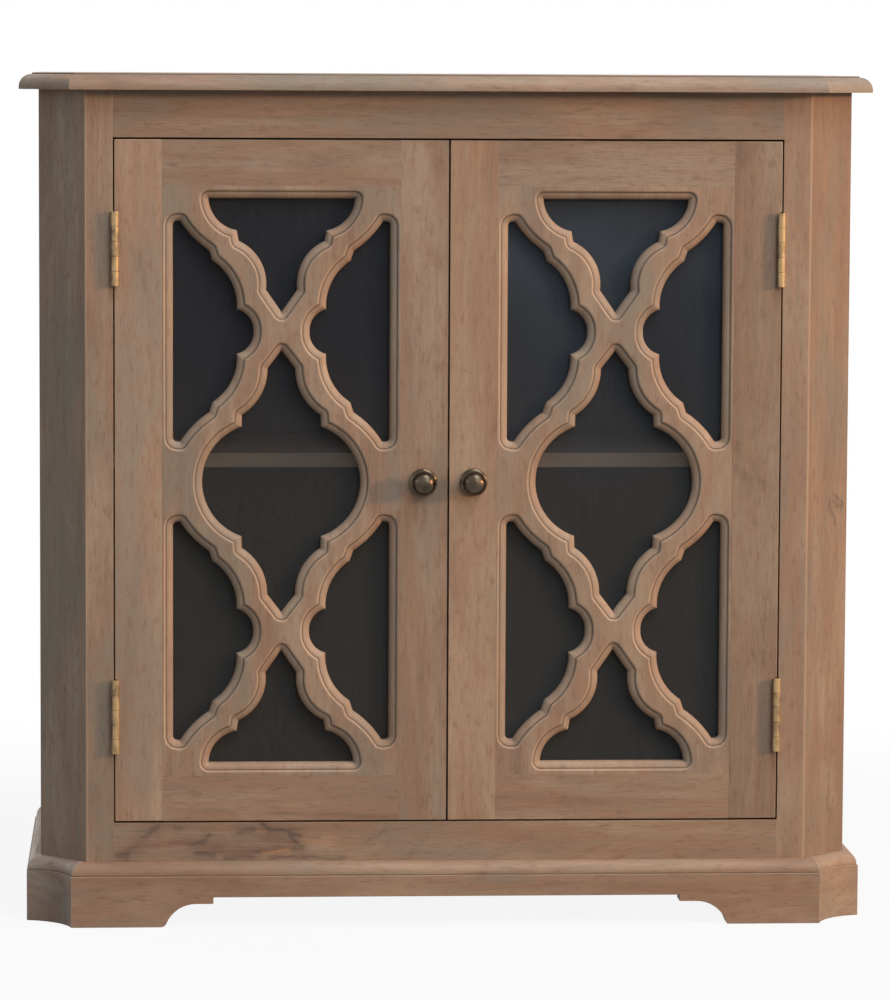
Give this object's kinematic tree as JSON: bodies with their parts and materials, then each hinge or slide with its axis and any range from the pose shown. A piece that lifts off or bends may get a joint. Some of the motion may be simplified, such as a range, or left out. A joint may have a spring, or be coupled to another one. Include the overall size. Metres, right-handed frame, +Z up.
{
  "type": "glazed sideboard",
  "caption": "Free-standing sideboard with canted front corners, a coved bracket plinth and hinged doors that hold a carved ogee lattice in front of clear glass.",
  "frame": {"origin": "on the floor, under the middle of the whole piece", "axes": "+X to the right seen from the front, +Y from the doors to the back, +Z up"},
  "size_m": [0.883, 0.408, 0.88],
  "materials": {
    "washed_wood": "grey-pink lime-washed hardwood, waxed, fine open grain",
    "inside_wood": "plain sawn hardwood, unpolished",
    "plywood": "thin plywood, unpolished",
    "clear_glass": "clear float glass",
    "brass": "bright lacquered brass",
    "antique_brass": "dark antique brass",
    "steel": "zinc-plated steel",
    "catch_plastic": "brown moulded plastic round a magnet"
  },
  "bodies": {
    "cabinet": {"back_panel": "plywood", "back_top_rail": "inside_wood", "catch_batten": "inside_wood", "corner_board_left": "washed_wood", "corner_board_right": "washed_wood", "floor_bearers": "inside_wood", "floor_board": "inside_wood", "frame_bottom_rail": "washed_wood", "frame_stile_left": "washed_wood", "frame_stile_right": "washed_wood", "frame_top_rail": "washed_wood", "hinge_frame_leaves_left": "brass", "hinge_frame_leaves_right": "brass", "magnet_catches": "catch_plastic", "plinth_back": "inside_wood", "plinth_corners": "washed_wood", "plinth_front": "washed_wood", "plinth_glue_blocks": "inside_wood", "plinth_side_left": "washed_wood", "plinth_side_right": "washed_wood", "shelf": "inside_wood", "shelf_cleat_left": "inside_wood", "shelf_cleat_right": "inside_wood", "side_panel_left": "washed_wood", "side_panel_right": "washed_wood", "top_board": "washed_wood", "top_cleat_left": "inside_wood", "top_cleat_right": "inside_wood"},
    "door_left": {"left_door_bottom_rail": "washed_wood", "left_door_glass": "clear_glass", "left_door_glazing_beads": "inside_wood", "left_door_hinge_leaves": "brass", "left_door_hinge_stile": "washed_wood", "left_door_knob": "antique_brass", "left_door_lattice": "washed_wood", "left_door_meeting_stile": "washed_wood", "left_door_strike_plate": "steel", "left_door_top_rail": "washed_wood"},
    "door_right": {"right_door_bottom_rail": "washed_wood", "right_door_glass": "clear_glass", "right_door_glazing_beads": "inside_wood", "right_door_hinge_leaves": "brass", "right_door_hinge_stile": "washed_wood", "right_door_knob": "antique_brass", "right_door_lattice": "washed_wood", "right_door_meeting_stile": "washed_wood", "right_door_strike_plate": "steel", "right_door_top_rail": "washed_wood"}
  },
  "joints": [
    {"name": "door_left_hinge", "type": "hinge", "parent": "cabinet", "child": "door_left", "pos_m": [-0.34275, -0.1822, 0.4608], "axis": [0, 0, -1], "range_deg": [0, 180]},
    {"name": "door_right_hinge", "type": "hinge", "parent": "cabinet", "child": "door_right", "pos_m": [0.34275, -0.1822, 0.4608], "axis": [0, 0, 1], "range_deg": [0, 180]}
  ]
}
